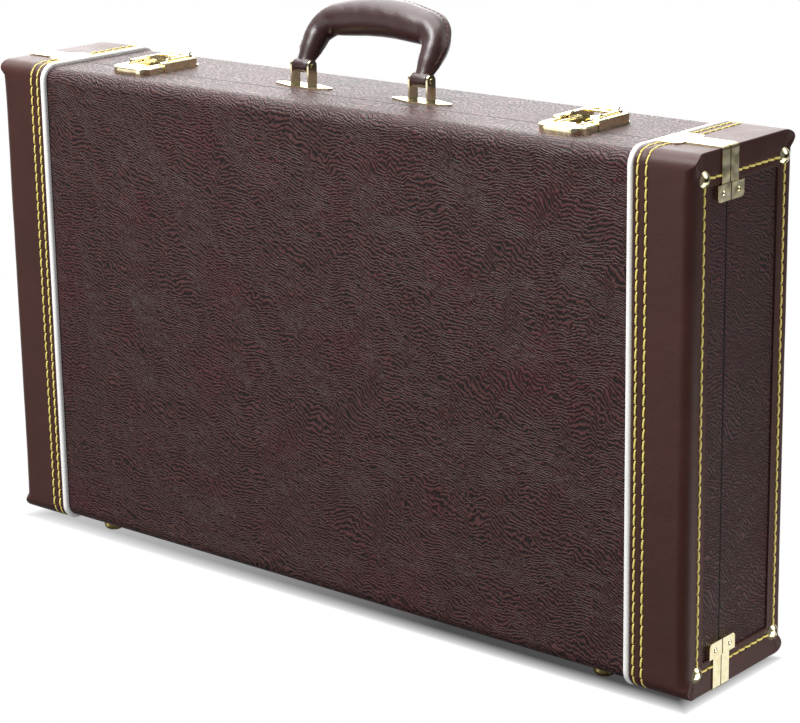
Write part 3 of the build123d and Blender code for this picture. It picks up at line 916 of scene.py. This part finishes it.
def rounded_line(points, radii, step):
    """A flat line through points, with each inner corner rounded by its radius."""
    line = [Vector(points[0])]
    for before, corner, after, radius in zip(points, points[1:], points[2:], radii):
        corner = Vector(corner)
        first = (Vector(before) - corner).normalized()
        second = (Vector(after) - corner).normalized()
        half_angle = first.angle(second) / 2
        reach = radius / math.tan(half_angle)
        middle = corner + (first + second).normalized() * radius / math.sin(half_angle)
        start, end = corner + first * reach - middle, corner + second * reach - middle
        sweep = math.pi - 2 * half_angle
        turn_way = 1 if start.x * end.y - start.y * end.x > 0 else -1
        count = max(int(sweep * radius / step), 3)
        for index in range(count + 1):
            angle = turn_way * sweep * index / count
            cosine, sine = math.cos(angle), math.sin(angle)
            turned = Vector((start.x * cosine - start.y * sine, start.x * sine + start.y * cosine))
            line.append(middle + turned)
    line.append(Vector(points[-1]))
    return line


flat_corners = [
    (-bracket_x, 0), (-corner_x, corner_height), (0, peak_height), (corner_x, corner_height),
    (bracket_x, 0),
]
flat_radii = [grip_corner_radius, arch_radius, grip_corner_radius]
flat_line = rounded_line(flat_corners, flat_radii, 2 * mm)
grip_points = resampled([p.to_3d() for p in flat_line], grip_step)
print("the grip's line has", len(grip_points), "points")

# %% Skin of the grip
middle_radius = 13.9 * mm
leg_widths = [(0, 6.6), (2.5, 6.8), (7, 7.2), (13, 8.6), (22, 9.8), (34, 10.4)]
leg_depths = [(0, 4.8), (2.5, 4.9), (7, 5.8), (13, 7.4), (22, 8.8), (34, 9.6)]
welt_width, welt_height, welt_start = 1.5 * mm, 1.5 * mm, 14 * mm
bump_height, bump_size = 0.15 * mm, 9 * mm
ring_steps = 40


def from_table(table, place):
    """A size in metres read between the rows of a table in millimetres."""
    for (low, first), (high, second) in zip(table, table[1:]):
        if place <= high * mm:
            return (first + (second - first) * (place / mm - low) / (high - low)) * mm
    return table[-1][1] * mm


def grip_radius(place, from_pin):
    """Half width and half depth: a tongue at the pins, a leg, and a swelling in the middle."""
    swell = max(0, 1 - (place.x / corner_x) ** 2) ** 0.8
    return [
        size + (middle_radius - size) * swell
        for size in (from_table(leg_widths, from_pin), from_table(leg_depths, from_pin))
    ]


def lifted(flat_point):
    """A point of the flat line, in the leaning plane of the handle."""
    return Vector((flat_point.x, handle_y, handle_z)) + lean_up * flat_point.y


total = len(grip_points)


def grip_at(index):
    """The middle of the grip, the way to its outer edge, its half sizes and its way from a pin."""
    here = grip_points[index]
    tangent = (grip_points[index + 1] - grip_points[index - 1]).normalized()
    out = Vector((-tangent.y, 0, 0)) + lean_up * tangent.x
    from_pin = min(index, total - 1 - index) * grip_step
    return lifted(here), out, grip_radius(here, from_pin), from_pin


grip_rings = []
for index in range(1, total - 1):
    centre, out, (width, depth), from_pin = grip_at(index)
    welt = out * welt_height * min(from_pin / welt_start, 1)
    ring = []
    for step in range(ring_steps):
        angle = step / ring_steps * math.tau
        cosine, sine = math.cos(angle), math.sin(angle)
        bump = noise.noise(centre / bump_size + Vector((cosine, sine, 0))) * bump_height
        offset = out * cosine * (width + bump) + lean_side * sine * (depth + bump)
        if cosine > 0:
            offset += welt * math.exp(-((depth * sine / welt_width) ** 4))
        ring.append(centre + offset)
    grip_rings.append(ring)

grip = piece_from("handle_padded_grip", *skin(grip_rings), grip_leather, "handle", "handle_leather")
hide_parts("handle_grip")
outward(grip)
print("grip with", len(grip.data.polygons), "faces")

# %% Loops round the pins and stitches of the welt
def lathe(name, profile, centre, axis, material, body, slot, steps=32):
    """A closed ring turned round an axis: the profile is (distance along, radius)."""
    axis = Vector(axis)
    side = Vector((0, 1, 0)) if abs(axis.y) < 0.9 else Vector((1, 0, 0))
    other = axis.cross(side)
    rings = []
    for step in range(steps):
        angle = step / steps * math.tau
        ray = side * math.cos(angle) + other * math.sin(angle)
        rings.append([Vector(centre) + axis * along + ray * radius for along, radius in profile])
    return outward(piece_from(name, *skin(rings, closed=True), material, body, slot))


loop_half, loop_radius, pin_radius = 7 * mm, 5.1 * mm, 1.65 * mm
loop_side = [
    (loop_half, pin_radius), (loop_half, loop_radius - 0.8 * mm),
    (loop_half - 0.25 * mm, loop_radius - 0.2 * mm), (loop_half - 0.9 * mm, loop_radius),
    (2 * mm, loop_radius + 0.12 * mm),
]
loop_profile = [(-along, radius) for along, radius in loop_side] + loop_side[::-1]
for end_name, end in ends.items():
    centre = (end * bracket_x, handle_y, handle_z)
    lathe(
        f"handle_loop_{end_name}", loop_profile, centre, (1, 0, 0), grip_leather, "handle",
        "handle_leather",
    )

welt_margin, welt_pitch, welt_thread = 7, 4.2 * mm, 0.45 * mm
welt_line, welt_normals = [], []
for index in range(welt_margin, total - welt_margin):
    centre, out, (width, _), _ = grip_at(index)
    welt_line.append(centre + out * (width - 0.1 * mm) + lean_side * 2.2 * mm)
    welt_normals.append((lean_side * 0.5 + out).normalized())
welt_count = stitch_row(
    "handle_thread", welt_line, welt_normals, "handle", welt_pitch, welt_thread, chance,
    brown_thread,
)
print("handle is dressed, with", welt_count, "stitches in its welt")

# %% [markdown]
# ## Lining and pads
#
# The lining is plush glued to the walls, rolled over at the rim. The pad in each half is foam under
# plush. A pad is the natural place for a cloth simulation: its skin is blown up a little against
# the board, and its edges draw in by themselves.

# %% Lining of the walls
wall_x, wall_low, wall_high = 309.2 * mm, 15.0 * mm, 360.0 * mm
board_inside = 50.0 * mm
lining_thickness, lining_bevel, lining_step = 2 * mm, 6 * mm, 6 * mm
soft_height, soft_size = 0.35 * mm, 30 * mm
lining_profile = (
    (0, 0), (0, 0.55), (0.012, 0.9), (0.04, 1), (0.2, 1), (0.4, 1), (0.6, 1), (0.8, 1), (0.98, 1),
    (0.98, 3.1), (1, 3.1), (1, 0),
)


def lining(half, side):
    """A band of plush round the inside of the walls, with a flange behind the pad's edge."""
    rim = rim_of(side)
    x, low, high, bevel = wall_x, wall_low, wall_high, lining_bevel
    corners = [
        (-x + bevel, low), (x - bevel, low), (x, low + bevel), (x, high - bevel),
        (x - bevel, high), (-x + bevel, high), (-x, high - bevel), (-x, low + bevel),
    ]
    line = resampled([Vector((*c, 0)) for c in corners + corners[:1]], lining_step)[:-1]
    rings = []
    for index, here in enumerate(line):
        before, after = line[index - 1], line[(index + 1) % len(line)]
        tangent = (after - before).normalized()
        inward = Vector((-tangent.y, tangent.x, 0))
        ring = []
        for share, thickness in lining_profile:
            soft = noise.noise(Vector((here.x, here.y, share * 0.07)) / soft_size) * soft_height
            depth = lining_thickness * thickness + (soft if thickness == 1 else 0)
            spot = here + inward * depth
            y = rim + (side * board_inside - rim) * share
            ring.append((spot.x, y, spot.y))
        rings.append(ring)
    sheet = skin(rings, closed=True)
    made = outward(piece_from(f"{half}_plush_lining", *sheet, red_plush, half, "plush"))
    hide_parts(f"{half}_lining")
    return made


linings = [lining(half, side) for half, side in halves.items()]
print(len(linings), "linings with", len(linings[0].data.polygons), "faces each")

# %% Pads blown up as cloth
pad_x, pad_low, pad_high = 303.2 * mm, 21.0 * mm, 354.0 * mm
pad_back, pad_front = 48.0 * mm, 38.0 * mm
pad_inset, pad_crown, pad_gap = 1.5 * mm, 3 * mm, 0.2 * mm
pad_held, pad_travel, pad_voxel = 3 * mm, 2.5 * mm, 5 * mm
pad_pressure, pad_frames = 4, 20


def pad_start(half, side):
    """A slab a little smaller than the pad."""
    built = bmesh.new()
    bmesh.ops.create_cube(built, size=1)
    thickness = pad_back - pad_front - pad_crown
    size = (2 * (pad_x - pad_inset), thickness, pad_high - pad_low - 2 * pad_inset)
    centre = (0, side * (pad_back - pad_gap - thickness / 2), (pad_high + pad_low) / 2)
    bmesh.ops.scale(built, vec=size, verts=built.verts)
    bmesh.ops.translate(built, vec=centre, verts=built.verts)
    mesh = bpy.data.meshes.new(f"{half}_plush_pad")
    built.to_mesh(mesh)
    built.free()
    mesh.materials.append(red_plush)
    made = bpy.data.objects.new(f"{half}_plush_pad", mesh)
    bpy.context.scene.collection.objects.link(made)
    return made


def apply_modifiers(piece):
    """Bakes the modifiers of a piece into its mesh."""
    evaluated = piece.evaluated_get(bpy.context.evaluated_depsgraph_get())
    mesh = bpy.data.meshes.new_from_object(evaluated)
    piece.modifiers.clear()
    piece.data = mesh


def blow_up(piece, side):
    """Remeshes a slab and lets pressure crown it, held at its back and capped in its travel."""
    remesh = piece.modifiers.new("remesh", "REMESH")
    remesh.mode = "VOXEL"
    remesh.voxel_size = pad_voxel
    apply_modifiers(piece)
    start = [v.co.copy() for v in piece.data.vertices]
    held = piece.vertex_groups.new(name="held")
    backing = side * (pad_back - pad_held)
    held.add([i for i, co in enumerate(start) if (co.y - backing) * side > 0], 1, "REPLACE")
    cloth = piece.modifiers.new("cloth", "CLOTH")
    cloth.settings.vertex_group_mass = "held"
    cloth.settings.use_pressure = True
    cloth.settings.uniform_pressure_force = pad_pressure
    cloth.settings.effector_weights.gravity = 0
    cloth.point_cache.frame_end = pad_frames
    for number in range(1, pad_frames + 1):
        bpy.context.scene.frame_set(number)
    apply_modifiers(piece)
    bpy.context.scene.frame_set(1)
    for vertex, before in zip(piece.data.vertices, start):
        moved = vertex.co - before
        if moved.length > pad_travel:
            vertex.co = before + moved.normalized() * pad_travel


pads = []
for half, side in halves.items():
    pad = pad_start(half, side)
    blow_up(pad, side)
    smooth = pad.modifiers.new("smooth", "SUBSURF")
    smooth.levels = smooth.render_levels = 1
    apply_modifiers(pad)
    pad.data.shade_smooth()
    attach(pad, half)
    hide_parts(f"{half}_pad")
    pads.append(pad)
print(len(pads), "pads with", len(pads[0].data.polygons), "faces each")

# %% [markdown]
#
# The box of the dressed case and the box of the engineering model are printed side by side. The
# dressed case has to stay inside the box of the engineering model, apart from a few millimetres of
# soft vinyl.

# %% Finish
visual_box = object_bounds()
boxes = {"cad": cad_box, "visual": visual_box}
for name, (low, high) in boxes.items():
    print(name, "box", [round((b - a) / mm, 1) for a, b in zip(low, high)], "mm")
